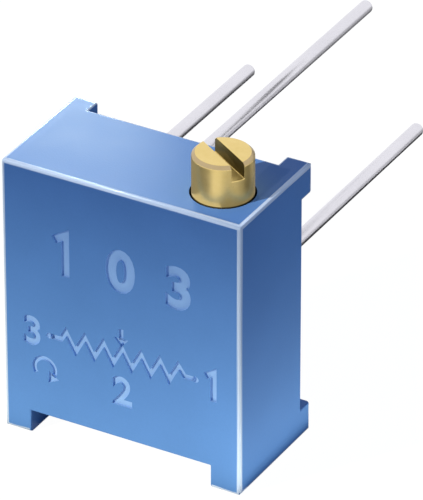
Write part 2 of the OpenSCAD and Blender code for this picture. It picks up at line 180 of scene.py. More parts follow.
def apply(obj, modifier):
    activate(obj)
    bpy.ops.object.modifier_apply(modifier=modifier.name)


SQUARE = cos(radians(0.5))


def smooth(obj, angle=35):
    activate(obj)
    bpy.ops.object.shade_smooth_by_angle(angle=radians(angle))
    for face in obj.data.polygons:
        if max(abs(part) for part in face.normal) > SQUARE:
            face.use_smooth = False


# %% [markdown]
# The floor
#
# The stage is a plain pale floor. It has two faces. Light that bounces off it meets a
# blue grey, so the sides of the case aren't flooded from below. The camera, and what is
# mirrored in the metals, sees a white that still darkens where the shadow falls.


# %% Floor
def new_material(name):
    material = bpy.data.materials.new(name)
    material.use_nodes = True
    material.node_tree.nodes.clear()
    return material, material.node_tree.nodes, material.node_tree.links


def seen_directly(nodes, links):
    path = nodes.new("ShaderNodeLightPath")
    direct = path.outputs["Is Camera Ray"]
    for kind in ("Is Glossy Ray", "Is Transmission Ray"):
        either = nodes.new("ShaderNodeMath")
        either.operation = "MAXIMUM"
        links.new(direct, either.inputs[0])
        links.new(path.outputs[kind], either.inputs[1])
        direct = either.outputs["Value"]
    return direct


floor_look, nodes, links = new_material("stage_floor")
floor_diffuse = nodes.new("ShaderNodeBsdfDiffuse")
floor_diffuse.inputs["Color"].default_value = (0.26, 0.31, 0.4, 1)
shown_diffuse = nodes.new("ShaderNodeBsdfDiffuse")
shown_diffuse.inputs["Color"].default_value = (0.1, 0.09, 0.08, 1)
shown_glow = nodes.new("ShaderNodeEmission")
shown_glow.inputs["Color"].default_value = WHITE
shown_glow.inputs["Strength"].default_value = 0.98
shown = nodes.new("ShaderNodeAddShader")
choose = nodes.new("ShaderNodeMixShader")
floor_out = nodes.new("ShaderNodeOutputMaterial")
links.new(shown_glow.outputs["Emission"], shown.inputs[0])
links.new(shown_diffuse.outputs["BSDF"], shown.inputs[1])
links.new(seen_directly(nodes, links), choose.inputs["Fac"])
links.new(floor_diffuse.outputs["BSDF"], choose.inputs[1])
links.new(shown.outputs["Shader"], choose.inputs[2])
links.new(choose.outputs["Shader"], floor_out.inputs["Surface"])

deselect_all()
bpy.ops.mesh.primitive_plane_add(size=1.2, location=(0, 0, -0.002 * MM))
floor = bpy.context.object
floor.name = "stage_floor"
bpy.ops.object.transform_apply(location=True, rotation=True, scale=True)
floor.data.materials.append(floor_look)
print("floor", [round(v, 2) for v in floor.dimensions], "m")

# %% [markdown]
# The world
#
# The world follows the same rule: a soft blue fill for the light, and plain white for
# the camera and for reflections.

# %% World
world = bpy.data.worlds.new("studio")
world.use_nodes = True
bpy.context.scene.world = world
nodes, links = world.node_tree.nodes, world.node_tree.links
nodes.clear()
surround = nodes.new("ShaderNodeBackground")
surround.inputs["Color"].default_value = (0.41, 0.59, 1, 1)
surround.inputs["Strength"].default_value = 0.4
backdrop = nodes.new("ShaderNodeBackground")
backdrop.inputs["Color"].default_value = WHITE
backdrop.inputs["Strength"].default_value = 1
choose = nodes.new("ShaderNodeMixShader")
world_out = nodes.new("ShaderNodeOutputWorld")
links.new(seen_directly(nodes, links), choose.inputs["Fac"])
links.new(surround.outputs["Background"], choose.inputs[1])
links.new(backdrop.outputs["Background"], choose.inputs[2])
links.new(choose.outputs["Shader"], world_out.inputs["Surface"])
print("world", world.name, "with", len(nodes), "nodes")

# %% [markdown]
# The key lamp
#
# A small lamp from the upper left throws the shadow of the screw over the top to the
# right. Each lamp is placed by its target, a direction and a distance, and faces back
# along that direction. Its size is in millimetres and its power in watts: the object is
# tiny, so a fraction of a watt is enough.


# %% Key lamp
def lamp(name, direction, away, size, power, target, colour=(1, 1, 1)):
    data = bpy.data.lights.new(name, "AREA")
    data.shape = "RECTANGLE"
    data.size, data.size_y = size[0] * MM, size[1] * MM
    data.energy = power
    data.color = colour
    obj = bpy.data.objects.new(name, data)
    bpy.context.collection.objects.link(obj)
    way = Vector(direction).normalized()
    obj.location = target + way * away * MM
    obj.rotation_euler = way.to_track_quat("Z", "Y").to_euler()
    obj.visible_camera = False
    print(name, "at", [round(1000 * v) for v in obj.location], "mm,", power, "W")
    return obj


top_edge = Vector((0, front, case_top))
key = lamp("key", (-0.47, -0.785, 0.41), 120, (2, 2), 0.22, top_edge)
key.visible_glossy = False

# %% [markdown]
# The flag
#
# Studios shape a lamp's light with cards and nets. A card here is a flat plane that
# only some rays meet. The flag is a net that only casts a shadow. It stands before the
# front, up to the height where the key just clears it and grazes the front's top edge.
# The net is dense at the top and thin at the foot. So the front runs from deep blue to
# light blue, and the key still draws the small shadows in the sunk signs. A ray that
# meets the front at its foot crosses the net at about 8 mm.


# %% Flag
def card(name, x, y, shade, seen_by, turned=Matrix(), height=0.05 * MM):
    look, nodes, links = new_material(name)
    glow = nodes.new("ShaderNodeEmission")
    glow.inputs["Color"].default_value = (shade, shade, shade, 1)
    out = nodes.new("ShaderNodeOutputMaterial")
    links.new(glow.outputs["Emission"], out.inputs["Surface"])
    deselect_all()
    bpy.ops.mesh.primitive_plane_add(size=1)
    obj = bpy.context.object
    obj.name = name
    size = Matrix.Diagonal(((x[1] - x[0]) * MM, (y[1] - y[0]) * MM, 1, 1))
    middle = Matrix.Translation(((x[0] + x[1]) / 2 * MM, (y[0] + y[1]) / 2 * MM, height))
    obj.data.transform(turned @ middle @ size)
    obj.data.materials.append(look)
    for ray in ("camera", "diffuse", "glossy", "transmission", "shadow"):
        setattr(obj, "visible_" + ray, ray in seen_by)
    return obj


FLAG_AWAY = 12 * MM
FLAG_HALF_WIDTH = 80
NET_FOOT = 8 * MM
THIN, DENSE = 0.78, 0.08
NET_COLOUR = (1, 0.95, 0.76)

flag_top = case_top + (key.location.z - case_top) * FLAG_AWAY / (front - key.location.y)
flag_place = Matrix.Translation((0, front - FLAG_AWAY, 0)) @ Matrix.Rotation(pi / 2, 4, "X")
flag_x, flag_z = (-FLAG_HALF_WIDTH, FLAG_HALF_WIDTH), (0, 1000 * flag_top)
flag = card("flag", flag_x, flag_z, 0, ("shadow",), flag_place, 0)

net_tree = flag.data.materials[0].node_tree
nodes, links = net_tree.nodes, net_tree.links
nodes.clear()
on_net = nodes.new("ShaderNodeTexCoord")
level = nodes.new("ShaderNodeSeparateXYZ")
thinning = nodes.new("ShaderNodeMapRange")
thinning.inputs["From Min"].default_value = NET_FOOT
thinning.inputs["From Max"].default_value = flag_top
thinning.inputs["To Min"].default_value = THIN
thinning.inputs["To Max"].default_value = DENSE
tint = nodes.new("ShaderNodeVectorMath")
tint.operation = "SCALE"
tint.inputs[0].default_value = NET_COLOUR
net = nodes.new("ShaderNodeBsdfTransparent")
flag_out = nodes.new("ShaderNodeOutputMaterial")
links.new(on_net.outputs["Object"], level.inputs[0])
links.new(level.outputs["Z"], thinning.inputs["Value"])
links.new(thinning.outputs["Result"], tint.inputs["Scale"])
links.new(tint.outputs["Vector"], net.inputs["Color"])
links.new(net.outputs["BSDF"], flag_out.inputs["Surface"])
print("flag up to", round(1000 * flag_top, 1), "mm")

# %% [markdown]
# Cards for the metals
#
# Metals show what they reflect. Dark, grey and pale cards lie on the floor behind the
# object, at its side and before it, and one stands behind the head of the screw. Three
# more lie on the case's top, round the screw, where its side mirrors them. Only
# reflections see them. They end short of the rounded edges, which would mirror them too.

# %% Cards for the metals
for name, x, y, shade in (
    ("card_behind_dark", (-4, 11.5), (-8, 16), 0.03),
    ("card_behind_grey", (-4, 11.5), (16, 34), 0.2),
    ("card_far", (11.5, 90), (20, 130), 0.5),
    ("card_side_dark", (11.5, 32), (0, 12), 0.05),
    ("card_side_grey", (11.5, 32), (-8, 0), 0.3),
    ("card_side_pale", (11.5, 32), (-34, -8), 0.55),
    ("card_front_pale", (-2, 11.5), (-34, -9.5), 0.95),
    ("card_left_dark", (-34, -2), (-34, -8.5), 0.1),
):
    card(name, x, y, shade, ("glossy",))

BEHIND_HEAD = 4.6 * MM
EDGE_MARGIN = 0.4
REAR_MARGIN = 0.8
CARD_GAP = 0.02 * MM

behind_head = Matrix.Translation((0, BEHIND_HEAD, 0)) @ Matrix.Rotation(pi / 2, 4, "X")
card("card_head", (1, 10), (11.9, 13.7), 0.02, ("glossy",), behind_head, 0)
along_top = (1000 * front + EDGE_MARGIN, 1000 * case_rear - REAR_MARGIN)
left_of_screw, right_of_screw = 1000 * screw_axis.x - 0.9, 1000 * screw_axis.x + 0.5
top_end = 1000 * half_width - EDGE_MARGIN
for name, x, shade in (
    ("card_top_left", (-top_end, left_of_screw), 0.25),
    ("card_top_front", (left_of_screw, right_of_screw), 0.7),
    ("card_top_right", (right_of_screw, top_end), 0.28),
):
    card(name, x, along_top, shade, ("glossy",), height=case_top + CARD_GAP)

# %% [markdown]
# Low lamps and the sheen
#
# Two low lamps lie on the floor and face up, one at the right and one before the front.
# They lift the lower half of both sides. The last lamp shines on the case alone and only
# as a reflection: it is the sheen on its top, which fades from the back to the front.

# %% Low lamps and sheen
FACING_UP = (0, 0, -1)
LOW_COLOUR = (1, 1, 0.9)

beside_case = Vector((half_width + 3 * MM, front + 2.5 * MM, 0.1 * MM))
before_case = Vector((1 * MM, front - 3 * MM, 0.1 * MM))
for low_lamp in (
    lamp("table_right", FACING_UP, 0, (5, 26), 0.001, beside_case, LOW_COLOUR),
    lamp("table_front", FACING_UP, 0, (24, 5), 0.00024, before_case, LOW_COLOUR),
):
    low_lamp.visible_glossy = False

lit_by_sheen = bpy.data.collections.new("lit_by_sheen")
rear_left = Vector((-half_width - 1 * MM, case_rear + 1 * MM, case_top))
sheen = lamp("sheen", (-0.42, 0.746, 0.515), 12, (7, 7), 0.003, rear_left, (0.85, 1, 1))
sheen.visible_diffuse = False
sheen.light_linking.receiver_collection = lit_by_sheen

# %% [markdown]
# Shared effects
#
# Three effects come back on several finishes, so each is a node group that is built
# once. Fine grain gives a faint change of colour, roughness and height. Soft edges
# tell where the surface turns between two flat faces; the plastics paint a highlight
# there, a lighter colour on the rounded edges. Drawn lines are the scratches that a lathe
# or a die leaves. The grain and the lines read the object's own coordinates, turned into
# millimetres, and the edges are found from the surface's normal.


# %% Node groups
def start_group(name, inputs, outputs):
    group = bpy.data.node_groups.new(name, "ShaderNodeTree")
    for label, kind, value in inputs:
        socket = group.interface.new_socket(label, in_out="INPUT", socket_type=kind)
        if value is not None:
            socket.default_value = value
    for label, kind in outputs:
        group.interface.new_socket(label, in_out="OUTPUT", socket_type=kind)
    return group, group.nodes.new("NodeGroupInput"), group.nodes.new("NodeGroupOutput")


def math(tree, operation, *values):
    node = tree.nodes.new("ShaderNodeMath")
    node.operation = operation
    for i, value in enumerate(values):
        if isinstance(value, (int, float)):
            node.inputs[i].default_value = value
        else:
            tree.links.new(value, node.inputs[i])
    return node.outputs["Value"]


def millimetres(tree, place=(0, 0, 0), stretch=(1, 1, 1)):
    coordinates = tree.nodes.new("ShaderNodeTexCoord")
    mapping = tree.nodes.new("ShaderNodeMapping")
    scale = [1000 * s for s in stretch]
    mapping.inputs["Location"].default_value = [-p * s for p, s in zip(place, scale)]
    mapping.inputs["Scale"].default_value = scale
    tree.links.new(coordinates.outputs["Object"], mapping.inputs["Vector"])
    return mapping.outputs["Vector"]


def noise(tree, vector, scale, detail, rough=0.55):
    node = tree.nodes.new("ShaderNodeTexNoise")
    node.inputs["Detail"].default_value = detail
    node.inputs["Roughness"].default_value = rough
    if isinstance(scale, (int, float)):
        node.inputs["Scale"].default_value = scale
    else:
        tree.links.new(scale, node.inputs["Scale"])
    tree.links.new(vector, node.inputs["Vector"])
    return node.outputs["Fac"]


# %% Fine grain
grain_group, group_in, group_out = start_group(
    "fine_grain",
    [("Vector", "NodeSocketVector", None), ("Scale", "NodeSocketFloat", 20.0)],
    [("Shade", "NodeSocketFloat"), ("Height", "NodeSocketFloat")],
)
coarse = noise(grain_group, group_in.outputs["Vector"], 0.45, 2)
fine = noise(grain_group, group_in.outputs["Vector"], group_in.outputs["Scale"], 4)
both = math(grain_group, "MULTIPLY_ADD", fine, 0.4, math(grain_group, "MULTIPLY", coarse, 0.6))
grain_group.links.new(both, group_out.inputs["Shade"])
grain_group.links.new(fine, group_out.inputs["Height"])

# %% Soft edges
edge_group, group_in, group_out = start_group(
    "soft_edges",
    [("Start", "NodeSocketFloat", 0.001), ("End", "NodeSocketFloat", 0.012)],
    [("Mask", "NodeSocketFloat")],
)
geometry = edge_group.nodes.new("ShaderNodeNewGeometry")
split = edge_group.nodes.new("ShaderNodeSeparateXYZ")
edge_group.links.new(geometry.outputs["Normal"], split.inputs[0])
sides = [math(edge_group, "ABSOLUTE", split.outputs[i]) for i in range(3)]
widest = math(edge_group, "MAXIMUM", math(edge_group, "MAXIMUM", sides[0], sides[1]), sides[2])
turn = math(edge_group, "SUBTRACT", 1.0, widest)
ramp = edge_group.nodes.new("ShaderNodeMapRange")
ramp.interpolation_type = "SMOOTHSTEP"
edge_group.links.new(turn, ramp.inputs["Value"])
edge_group.links.new(group_in.outputs["Start"], ramp.inputs["From Min"])
edge_group.links.new(group_in.outputs["End"], ramp.inputs["From Max"])
edge_group.links.new(ramp.outputs["Result"], group_out.inputs["Mask"])

# %% Drawn lines
lines_group, group_in, group_out = start_group(
    "drawn_lines",
    [("Vector", "NodeSocketVector", None), ("Scale", "NodeSocketFloat", 12.0)],
    [("Lines", "NodeSocketFloat")],
)
lines = noise(lines_group, group_in.outputs["Vector"], group_in.outputs["Scale"], 5, 0.7)
lines_group.links.new(lines, group_out.inputs["Lines"])
print("groups", [g.name for g in bpy.data.node_groups])


# %% [markdown]
# Helpers for finishes
#
# These few functions keep the finishes short. They place a group with its own values,
# mix two colours by a mask, spread the middle of a noise over a range, start a
# Principled shader, and add a bump of a given depth in millimetres.


# %% Helpers for finishes
def add_group(tree, group, vector=None, **values):
    node = tree.nodes.new("ShaderNodeGroup")
    node.node_tree = group
    for label, value in values.items():
        node.inputs[label].default_value = value
    if vector is not None:
        tree.links.new(vector, node.inputs["Vector"])
    return node


# %% Mixing and spreading
MIX_FACTOR = 0
MIX_VECTORS, MIX_VECTOR_OUT = (4, 5), 1
MIX_COLOURS, MIX_COLOUR_OUT = (6, 7), 2


def colour_mix(tree, factor, first, second):
    node = tree.nodes.new("ShaderNodeMix")
    node.data_type = "RGBA"
    for i, value in zip((MIX_FACTOR, *MIX_COLOURS), (factor, first, second)):
        if isinstance(value, tuple):
            node.inputs[i].default_value = (*value, 1)
        else:
            tree.links.new(value, node.inputs[i])
    return node.outputs[MIX_COLOUR_OUT]


NOISE_MIDDLE = (0.3, 0.7)


def spread(tree, value, low, high):
    node = tree.nodes.new("ShaderNodeMapRange")
    node.inputs["From Min"].default_value = NOISE_MIDDLE[0]
    node.inputs["From Max"].default_value = NOISE_MIDDLE[1]
    node.inputs["To Min"].default_value = low
    node.inputs["To Max"].default_value = high
    tree.links.new(value, node.inputs["Value"])
    return node.outputs["Result"]


# %% Shader and bump
def principled(name, **plain):
    material, nodes, links = new_material(name)
    shader = nodes.new("ShaderNodeBsdfPrincipled")
    out = nodes.new("ShaderNodeOutputMaterial")
    links.new(shader.outputs["BSDF"], out.inputs["Surface"])
    for label, value in plain.items():
        shader.inputs[label.replace("_", " ")].default_value = value
    return material, material.node_tree, shader


def bump(tree, shader, height, depth):
    node = tree.nodes.new("ShaderNodeBump")
    node.inputs["Strength"].default_value = 1
    node.inputs["Distance"].default_value = depth * MM
    tree.links.new(height, node.inputs["Height"])
    tree.links.new(node.outputs["Normal"], shader.inputs["Normal"])
    return node


# %% [markdown]
# Moulded plastics
#
# The case is a filled blue thermoplastic with a satin skin. Its colour lives in the
# plastic, so the finish is one base colour with a very faint cloudiness and a fine grain
# in the mould's steel. The rounded edges get a painted highlight: their mask mixes in a
# paler colour. On the case the mask also feeds Metallic and a smoother skin, so the edges
# shine a little like metal. The small edges near the feet get no painted highlight and stay
# plain blue, and the wall of the screw well is a painted shade, nearly black, because hardly
# any light comes back out of it. The floors of the sunk signs are a lighter blue than the case.
# The wheel is natural acetal, which is whiter and waxier, and the resin is a darker, glossier
# blue.


# %% Plastics
CLOUDY = 0.93
SMOOTH_EDGE = 0.6


def moulded(name, colour, edge_highlight_colour, rough, grain, depth, edge_highlight_share=1.0, polish=0.0):
    material, tree, shader = principled(name)
    shader.inputs["IOR"].default_value = 1.5
    shader.inputs["Specular IOR Level"].default_value = 0.1
    mm = millimetres(tree)
    texture = add_group(tree, grain_group, mm, Scale=grain)
    edges = add_group(tree, edge_group)
    shade = spread(tree, texture.outputs["Shade"], 0.0, 1.0)
    darker = tuple(CLOUDY * c for c in colour)
    base = colour_mix(tree, shade, darker, colour)
    share = math(tree, "MULTIPLY", edges.outputs["Mask"], edge_highlight_share)
    # The edge mask mixes in the painted highlight colour.
    tree.links.new(colour_mix(tree, share, base, edge_highlight_colour), shader.inputs["Base Color"])
    skin = spread(tree, texture.outputs["Shade"], rough - 0.04, rough + 0.04)
    if polish:
        tree.links.new(math(tree, "MULTIPLY", share, polish), shader.inputs["Metallic"])
        smoother = math(tree, "MULTIPLY", share, SMOOTH_EDGE * rough)
        skin = math(tree, "SUBTRACT", skin, smoother)
    tree.links.new(skin, shader.inputs["Roughness"])
    bump(tree, shader, texture.outputs["Height"], depth)
    return material


case_blue = (0.112, 0.262, 0.57)
# Painted highlight: the pale blue that the case's rounded edges are mixed towards.
edge_highlight_blue = (0.65, 0.76, 0.9)
mark_blue = (0.3, 0.49, 0.8)
# Painted shade: the wall of the screw well is coloured nearly black for the shade inside it.
well_painted_shade = (0.004, 0.008, 0.02)
SATIN = 0.42
MOULD_GRAIN = 14

case_look = moulded("case_plastic", case_blue, edge_highlight_blue, SATIN, MOULD_GRAIN, 0.004, polish=0.2)
plain_look = moulded("case_low_edges", case_blue, case_blue, SATIN, MOULD_GRAIN, 0.004)
mark_look = moulded("case_marks", mark_blue, mark_blue, 0.5, MOULD_GRAIN, 0.002)
well_shade_look = moulded("well_shade", well_painted_shade, well_painted_shade, 0.6, MOULD_GRAIN, 0.002)
wheel_look = moulded("wheel_plastic", (0.82, 0.8, 0.74), (0.9, 0.89, 0.85), 0.38, 10, 0.003)
resin_look = moulded("potting", (0.06, 0.13, 0.33), (0.1, 0.2, 0.42), 0.2, 1.5, 0.02, 0.3)
ceramic_look = moulded("ceramic", (0.84, 0.84, 0.8), (0.9, 0.9, 0.88), 0.55, 30, 0.004)
track_look = moulded("track_film", (0.035, 0.035, 0.04), (0.05, 0.05, 0.055), 0.45, 40, 0.003)
rubber_look = moulded("seal_rubber", (0.022, 0.022, 0.025), (0.03, 0.03, 0.03), 0.6, 25, 0.004)
print("case skin roughness", SATIN, "with a grain of", MOULD_GRAIN, "per millimetre")

# %% [markdown]
# Metals
#
# The screw is turned from brass rod, so its top carries faint rings round the axis and
# its side fine rings along the height. Reflections stretch across such rings, and the
# tangent of the finish therefore runs round the axis. The side also takes its normals
# straight from the axis, because long thin triangles would bend them. The walls of the
# sawn slot get a painted shade, a nearly black brass that is also a little duller, and the
# chamfer is painted a darker brass, a painted reflection of a darker surround. The leads are
# copper wire with a bright tin finish, which keeps faint lines along the wire from the die.
# Stamped sheet and printed silver are plainer. A metal's colour is its reflection, so it comes
# from the base colour, and the lines only change height and roughness a little.


# %% Metals
def metal(name, colour, tint, rough, stretch, scale, depth):
    material, tree, shader = principled(name, Metallic=1.0)
    mm = millimetres(tree, stretch=stretch)
    streaks = add_group(tree, lines_group, mm, Scale=scale)
    cloud = add_group(tree, grain_group, millimetres(tree), Scale=6)
    shade = spread(tree, cloud.outputs["Shade"], 0.0, 1.0)
    tree.links.new(colour_mix(tree, shade, colour, tint), shader.inputs["Base Color"])
    tree.links.new(spread(tree, streaks.outputs["Lines"], rough - 0.06, rough + 0.08),
                   shader.inputs["Roughness"])
    bump(tree, shader, streaks.outputs["Lines"], depth)
    return material


# %% Normals of a round side
UPRIGHT = 0.05


def round_normal(tree, split):
    flat = tree.nodes.new("ShaderNodeCombineXYZ")
    tree.links.new(split.outputs["X"], flat.inputs["X"])
    tree.links.new(split.outputs["Y"], flat.inputs["Y"])
    outwards = tree.nodes.new("ShaderNodeVectorTransform")
    outwards.vector_type = "NORMAL"
    outwards.convert_from = "OBJECT"
    outwards.convert_to = "WORLD"
    tree.links.new(flat.outputs["Vector"], outwards.inputs["Vector"])
    geometry = tree.nodes.new("ShaderNodeNewGeometry")
    true_normal = tree.nodes.new("ShaderNodeSeparateXYZ")
    tree.links.new(geometry.outputs["True Normal"], true_normal.inputs[0])
    lean = math(tree, "ABSOLUTE", true_normal.outputs["Z"])
    upright = math(tree, "LESS_THAN", lean, UPRIGHT)
    choose = tree.nodes.new("ShaderNodeMix")
    choose.data_type = "VECTOR"
    tree.links.new(upright, choose.inputs[MIX_FACTOR])
    tree.links.new(geometry.outputs["Normal"], choose.inputs[MIX_VECTORS[0]])
    tree.links.new(outwards.outputs["Vector"], choose.inputs[MIX_VECTORS[1]])
    return choose.outputs[MIX_VECTOR_OUT]


# %% Turned brass
def turned_brass(name, colour, tint, rough, round_side=False):
    material, tree, shader = principled(name, Metallic=0.95)
    mm = millimetres(tree, screw_axis)
    split = tree.nodes.new("ShaderNodeSeparateXYZ")
    tree.links.new(mm, split.inputs[0])
    around = tree.nodes.new("ShaderNodeVectorMath")
    around.operation = "CROSS_PRODUCT"
    around.inputs[0].default_value = (0, 0, 1)
    tree.links.new(mm, around.inputs[1])
    tree.links.new(around.outputs["Vector"], shader.inputs["Tangent"])
    shader.inputs["Anisotropic"].default_value = 0.4
    squares = [math(tree, "POWER", split.outputs[i], 2.0) for i in range(2)]
    radius = math(tree, "SQRT", math(tree, "ADD", *squares))
    join = tree.nodes.new("ShaderNodeCombineXYZ")
    tree.links.new(radius, join.inputs["X"])
    tree.links.new(split.outputs["Z"], join.inputs["Z"])
    rings = add_group(tree, lines_group, join.outputs["Vector"], Scale=9.0)
    cloud = add_group(tree, grain_group, mm, Scale=5)
    shade = spread(tree, cloud.outputs["Shade"], 0.0, 1.0)
    tree.links.new(colour_mix(tree, shade, colour, tint), shader.inputs["Base Color"])
    tree.links.new(spread(tree, rings.outputs["Lines"], rough - 0.05, rough + 0.08),
                   shader.inputs["Roughness"])
    bumped = bump(tree, shader, rings.outputs["Lines"], 0.002)
    if round_side:
        tree.links.new(round_normal(tree, split), bumped.inputs["Normal"])
    return material


brass_look = turned_brass("screw_brass", (0.8, 0.6, 0.21), (0.87, 0.67, 0.28), 0.32, True)
# Painted shade: the slot walls are a nearly black brass for the shade inside the slot.
slot_shade_look = turned_brass("sawn_slot_shade", (0.16, 0.13, 0.05), (0.24, 0.2, 0.08), 0.45)
# Painted reflection: the chamfer is a darker brass, standing in for a darker surround that it
# would mirror.
chamfer_painted_reflection = turned_brass("screw_chamfer_painted_reflection", (0.5, 0.38, 0.2), (0.55, 0.42, 0.24), 0.3)
print("brass finishes", [look.name for look in (brass_look, slot_shade_look, chamfer_painted_reflection)])

# %% Wire, sheet and film
ALONG_WIRE = (1, 0.04, 1)
ACROSS_FORK = (0.1, 1, 1)
UP_THE_SPRING = (1, 1, 0.1)
EVENLY = (1, 1, 1)

tin, pale_tin = (0.74, 0.73, 0.79), (0.8, 0.79, 0.85)
steel, pale_steel = (0.55, 0.56, 0.58), (0.62, 0.62, 0.64)
alloy, pale_alloy = (0.72, 0.6, 0.38), (0.78, 0.68, 0.46)
lead_grey, pale_lead = (0.6, 0.61, 0.64), (0.7, 0.71, 0.74)
silver, pale_silver = (0.66, 0.66, 0.63), (0.74, 0.74, 0.71)

tin_look = metal("lead_tin", tin, pale_tin, 0.3, ALONG_WIRE, 24, 0.0002)
steel_look = metal("spring_steel", steel, pale_steel, 0.35, ACROSS_FORK, 14, 0.003)
wiper_look = metal("wiper_alloy", alloy, pale_alloy, 0.28, UP_THE_SPRING, 16, 0.002)
solder_look = metal("solder", lead_grey, pale_lead, 0.22, EVENLY, 3, 0.01)
silver_look = metal("conductor_film", silver, pale_silver, 0.42, EVENLY, 30, 0.003)
print(len(bpy.data.materials), "materials, the floor and the cards among them")

# %% [markdown]
# Dressing the solids
#
# Every solid of the frame gets the finish that its record names. The finish hangs on
# the object's slot, and the mesh itself stays as it came.

# %% Dress the solids
looks = {
    "case_plastic": case_look, "screw_brass": brass_look, "seal_rubber": rubber_look,
    "spring_steel": steel_look, "wheel_plastic": wheel_look, "wiper_alloy": wiper_look,
    "ceramic": ceramic_look, "track_film": track_look, "conductor_film": silver_look,
    "lead_tin": tin_look, "solder": solder_look, "potting": resin_look,
}


def dress(obj, *materials):
    obj.data.materials.clear()
    for material in materials:
        obj.data.materials.append(material)


for subpart in frame["record"]["subparts"]:
    node = frame["nodes"][subpart["node"]]
    for slot in node.material_slots:
        slot.link = "OBJECT"
        slot.material = looks[subpart["material_slot"]]

# %% [markdown]
# The case
#
# A mould leaves no knife-sharp edge. The outer edges are already rounded in the solid,
# so a copy of it only needs a small bevel where faces still meet sharply, on the feet
# and on the standoffs. The edge of the screw well is shaved sharp by the core that
# forms it, and stays so. The copy is made first, its triangles are merged into flat
# faces, and then the sharp outer edges are picked and bevelled. The bevelled faces below
# half height get the case's finish without its painted edge highlight, and the wall of the well
# gets a near-black painted shade.

# %% Case shell
SMALL_BEVEL = 0.06 * MM
SHARP_ANGLE = radians(50)
WELL_REACH = 1.5 * MM
FOOT_HEIGHT = 0.95 * MM
NEAR = 0.01 * MM
WELL_SHADE_SLOT, LOW_SLOT = 1, 2

shell = copy_of("housing", "case_shell")


def from_axis(point):
    return (point - screw_axis).to_2d().length


def on_outside(point):
    outer = abs(abs(point.x) - half_width) < NEAR or point.y > resin_level + NEAR
    return outer or point.z > case_top - NEAR or point.z < FOOT_HEIGHT


def sharp(edge):
    outside = all(on_outside(v.co) for v in edge.verts)
    at_well = from_axis(edge.verts[0].co) < WELL_REACH
    return outside and not at_well and edge.calc_face_angle(0) > SHARP_ANGLE


def bevel(size, profile):
    bpy.ops.mesh.bevel(
        offset=size, segments=2, profile=profile, affect="EDGES", clamp_overlap=True
    )


dress(shell, case_look, well_shade_look, plain_look)
edit(shell)
count = pick_edges(shell, sharp)
bevel(SMALL_BEVEL, 0.6)
done()
for face in shell.data.polygons:
    if face.select and face.center.z < case_top / 2:
        face.material_index = LOW_SLOT
    # The wall of the well gets the painted shade.
    if from_axis(face.center) < WELL_REACH and face.center.z < case_top - NEAR:
        face.material_index = WELL_SHADE_SLOT
print(count, "sharp edges bevelled")

# %% [markdown]
# The signs on the front
#
# The front shows how the resistor inside is wired: the numbers of the three leads, a
# zigzag between two of them and an arrow for the wiper, and over them a plain value
# in large figures. A curved arrow says which way to turn the screw. They are sunk into
# the plastic. A sunk sign is a cutter that is taken away from the shell, so each sign is
# a solid that stands half in front of the face: the figures come from Blender's own
# font, the strokes are flat ribbons along a line, and the arrow heads are small plates.
# Where two of them meet, one goes a little less deep, so that no two faces coincide.

# %% Signs as cutters
SIGN_DEPTH = 0.09 * MM


def figure(text, x, z, height, bold):
    deselect_all()
    bpy.ops.object.text_add(location=(0, 0, 0))
    obj = bpy.context.object
    obj.data.body = text
    obj.data.align_x = "CENTER"
    obj.data.align_y = "CENTER"
    obj.data.resolution_u = 5
    obj.data.offset = bold
    obj.data.extrude = 0.5
    bpy.ops.object.convert(target="MESH")
    obj = bpy.context.object
    low = [min(v.co[i] for v in obj.data.vertices) for i in range(2)]
    high = [max(v.co[i] for v in obj.data.vertices) for i in range(2)]
    size = height * MM / (high[1] - low[1])
    middle = Vector(((low[0] + high[0]) / 2, (low[1] + high[1]) / 2, 0))
    place = Matrix.Translation((x * MM, front, z * MM)) @ Matrix.Rotation(pi / 2, 4, "X")
    scale = Matrix.Diagonal((size, size, 2 * SIGN_DEPTH, 1))
    obj.data.transform(place @ scale @ Matrix.Translation(-middle))
    return obj


# %% Strokes and plates
TO_FRONT = Matrix.Translation((0, front, 0)) @ Matrix.Rotation(pi / 2, 4, "X")


def add_line(curve, points, closed=False):
    line = curve.splines.new("POLY")
    line.points.add(len(points) - 1)
    line.use_cyclic_u = closed
    for point, (x, z) in zip(line.points, points):
        point.co = (x * MM, z * MM, 0, 1)


def as_object(curve):
    obj = bpy.data.objects.new(curve.name, curve)
    bpy.context.collection.objects.link(obj)
    return obj


def to_solid(curve, weld):
    activate(as_object(curve))
    bpy.ops.object.convert(target="MESH")
    obj = bpy.context.object
    obj.data.transform(TO_FRONT)
    edit(obj, "FACE")
    bpy.ops.mesh.select_all(action="SELECT")
    if weld:
        bpy.ops.mesh.remove_doubles(threshold=WELD)
    bpy.ops.mesh.normals_make_consistent(inside=False)
    done()
    return obj


def stroke(points, width, share=1.0):
    half, deep = width / 2, share * SIGN_DEPTH / MM
    profile = bpy.data.curves.new("profile", "CURVE")
    add_line(profile, [(-half, -deep), (half, -deep), (half, deep), (-half, deep)], closed=True)
    section = as_object(profile)
    curve = bpy.data.curves.new("stroke", "CURVE")
    curve.dimensions = "2D"
    curve.bevel_mode = "OBJECT"
    curve.bevel_object = section
    curve.use_fill_caps = True
    add_line(curve, points)
    obj = to_solid(curve, weld=False)
    bpy.data.objects.remove(section, do_unlink=True)
    return obj


def plate(points, share):
    curve = bpy.data.curves.new("plate", "CURVE")
    curve.dimensions = "2D"
    curve.fill_mode = "BOTH"
    curve.extrude = share * SIGN_DEPTH
    add_line(curve, points, closed=True)
    return to_solid(curve, weld=True)


# %% Figure one and dots
def one(x, z, height, width):
    top, foot = z + height / 2, z - height / 2
    tip = (x - 0.26 * height, top - 0.2 * height)
    return stroke([tip, (x, top - 0.04 * height), (x, foot)], width)


